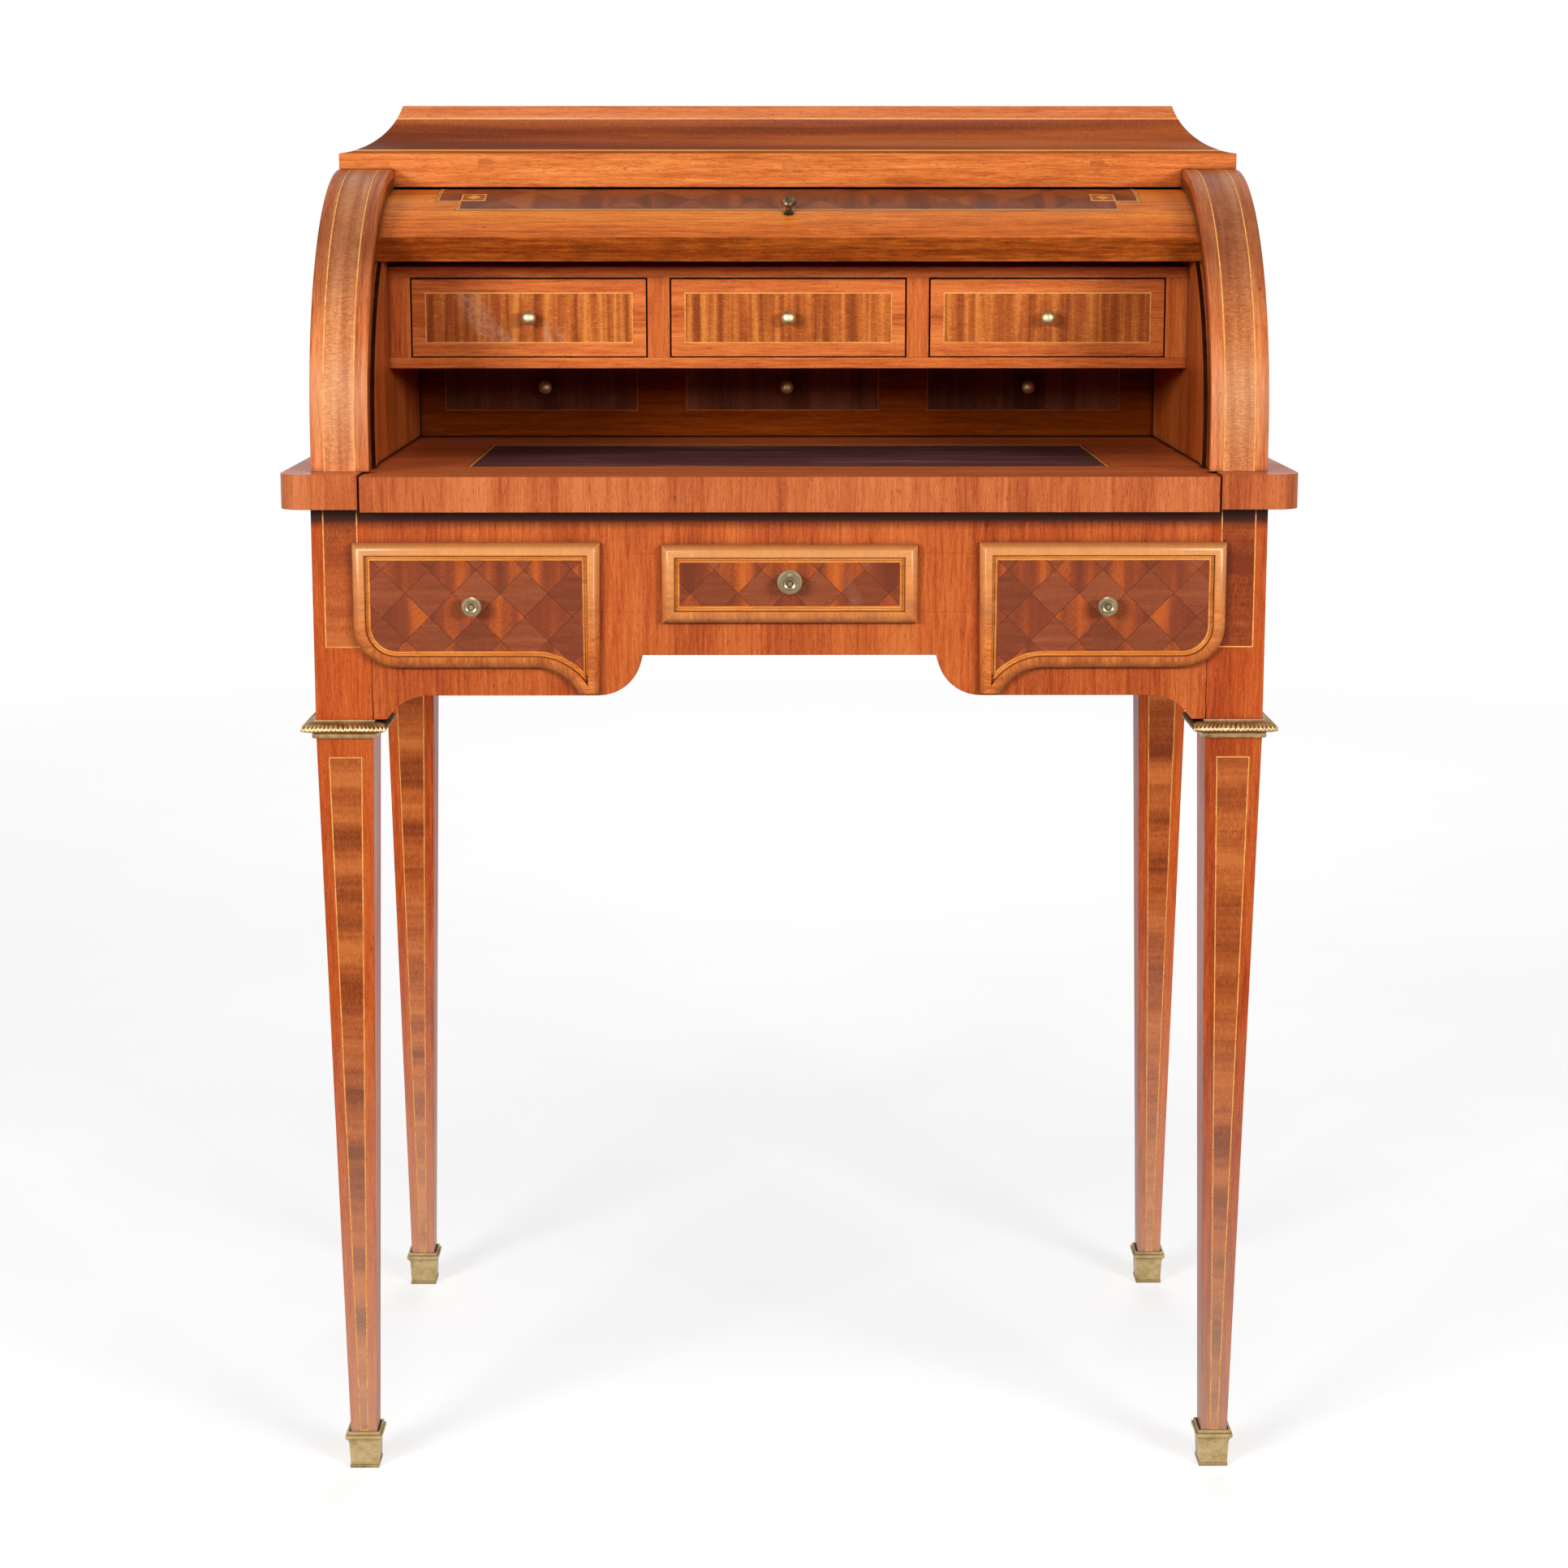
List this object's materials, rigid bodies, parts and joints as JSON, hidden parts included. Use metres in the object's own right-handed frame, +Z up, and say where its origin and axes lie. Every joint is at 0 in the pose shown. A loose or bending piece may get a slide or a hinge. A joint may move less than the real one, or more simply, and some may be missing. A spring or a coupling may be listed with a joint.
{
  "type": "cylinder desk",
  "caption": "Small cylinder desk on square tapered legs: a curved fall rolls up over a writing slide, small inner drawers and shaped, moulded apron drawers.",
  "frame": {"origin": "on the floor, under the middle of the table top", "axes": "+Z up, -Y towards the person who sits at the desk, +X to that person's right"},
  "size_m": [0.72, 0.453, 1.0133],
  "materials": {
    "mahogany_veneer": "shellac polish over figured veneer",
    "dark_mahogany": "shellac polish over parquetry",
    "honey_moulding": "waxed",
    "plain_oak": "bare",
    "aged_bronze": "aged",
    "brass": "rubbed",
    "leather": "worn, matt"
  },
  "bodies": {
    "case": {"apron_lower_rail": "mahogany_veneer", "apron_stiles": "mahogany_veneer", "apron_top_rail": "mahogany_veneer", "back_apron": "mahogany_veneer", "cheek_left": "mahogany_veneer", "cheek_right": "mahogany_veneer", "cornice_board": "mahogany_veneer", "cornice_cap": "mahogany_veneer", "cornice_rail": "mahogany_veneer", "drawer_runners": "plain_oak", "dust_panel": "plain_oak", "fall_stop_rail": "plain_oak", "foot_sabots": "brass", "gallery_backboard": "plain_oak", "gallery_shelf": "mahogany_veneer", "gallery_top": "mahogany_veneer", "gallery_uprights": "mahogany_veneer", "leg_back_left": "mahogany_veneer", "leg_back_right": "mahogany_veneer", "leg_collars": "aged_bronze", "leg_front_left": "mahogany_veneer", "leg_front_right": "mahogany_veneer", "lining_left": "mahogany_veneer", "lining_right": "mahogany_veneer", "rear_floor": "plain_oak", "side_apron_left": "mahogany_veneer", "side_apron_right": "mahogany_veneer", "slide_bearers": "plain_oak", "top_back_rail": "mahogany_veneer", "top_end_left": "mahogany_veneer", "top_end_right": "mahogany_veneer", "upper_back_panel": "plain_oak"},
    "fall": {"cylinder_fall": "mahogany_veneer", "cylinder_knob": "brass"},
    "slide": {"slide_leather": "leather", "writing_slide": "mahogany_veneer"},
    "left_drawer": {"left_drawer_box": "plain_oak", "left_drawer_field": "dark_mahogany", "left_drawer_knob": "aged_bronze", "left_drawer_moulding": "honey_moulding"},
    "centre_drawer": {"centre_drawer_box": "plain_oak", "centre_drawer_field": "dark_mahogany", "centre_drawer_knob": "aged_bronze", "centre_drawer_moulding": "honey_moulding"},
    "right_drawer": {"right_drawer_box": "plain_oak", "right_drawer_field": "dark_mahogany", "right_drawer_knob": "aged_bronze", "right_drawer_moulding": "honey_moulding"},
    "upper_left_drawer": {"upper_left_drawer_box": "plain_oak", "upper_left_drawer_front": "mahogany_veneer", "upper_left_drawer_knob": "brass"},
    "upper_centre_drawer": {"upper_centre_drawer_box": "plain_oak", "upper_centre_drawer_front": "mahogany_veneer", "upper_centre_drawer_knob": "brass"},
    "upper_right_drawer": {"upper_right_drawer_box": "plain_oak", "upper_right_drawer_front": "mahogany_veneer", "upper_right_drawer_knob": "brass"},
    "rear_drawer": {"rear_drawer_box": "plain_oak", "rear_drawer_front": "mahogany_veneer", "rear_drawer_knobs": "brass"}
  },
  "joints": [
    {"name": "fall_roll", "type": "hinge", "parent": "case", "child": "fall", "pos_m": [0, -0.0135, 0.778], "axis": [-1, 0, 0], "range_deg": [-61.4, 0]},
    {"name": "slide_pull", "type": "slide", "parent": "case", "child": "slide", "axis": [0, -1, 0], "range_m": [0, 0.16]},
    {"name": "left_drawer_pull", "type": "slide", "parent": "case", "child": "left_drawer", "axis": [0, -1, 0], "range_m": [0, 0.22]},
    {"name": "centre_drawer_pull", "type": "slide", "parent": "case", "child": "centre_drawer", "axis": [0, -1, 0], "range_m": [0, 0.22]},
    {"name": "right_drawer_pull", "type": "slide", "parent": "case", "child": "right_drawer", "axis": [0, -1, 0], "range_m": [0, 0.22]},
    {"name": "upper_left_drawer_pull", "type": "slide", "parent": "case", "child": "upper_left_drawer", "axis": [0, -1, 0], "range_m": [0, 0.095]},
    {"name": "upper_centre_drawer_pull", "type": "slide", "parent": "case", "child": "upper_centre_drawer", "axis": [0, -1, 0], "range_m": [0, 0.095]},
    {"name": "upper_right_drawer_pull", "type": "slide", "parent": "case", "child": "upper_right_drawer", "axis": [0, -1, 0], "range_m": [0, 0.095]},
    {"name": "rear_drawer_pull", "type": "slide", "parent": "case", "child": "rear_drawer", "axis": [0, -1, 0], "range_m": [0, 0.04]}
  ]
}
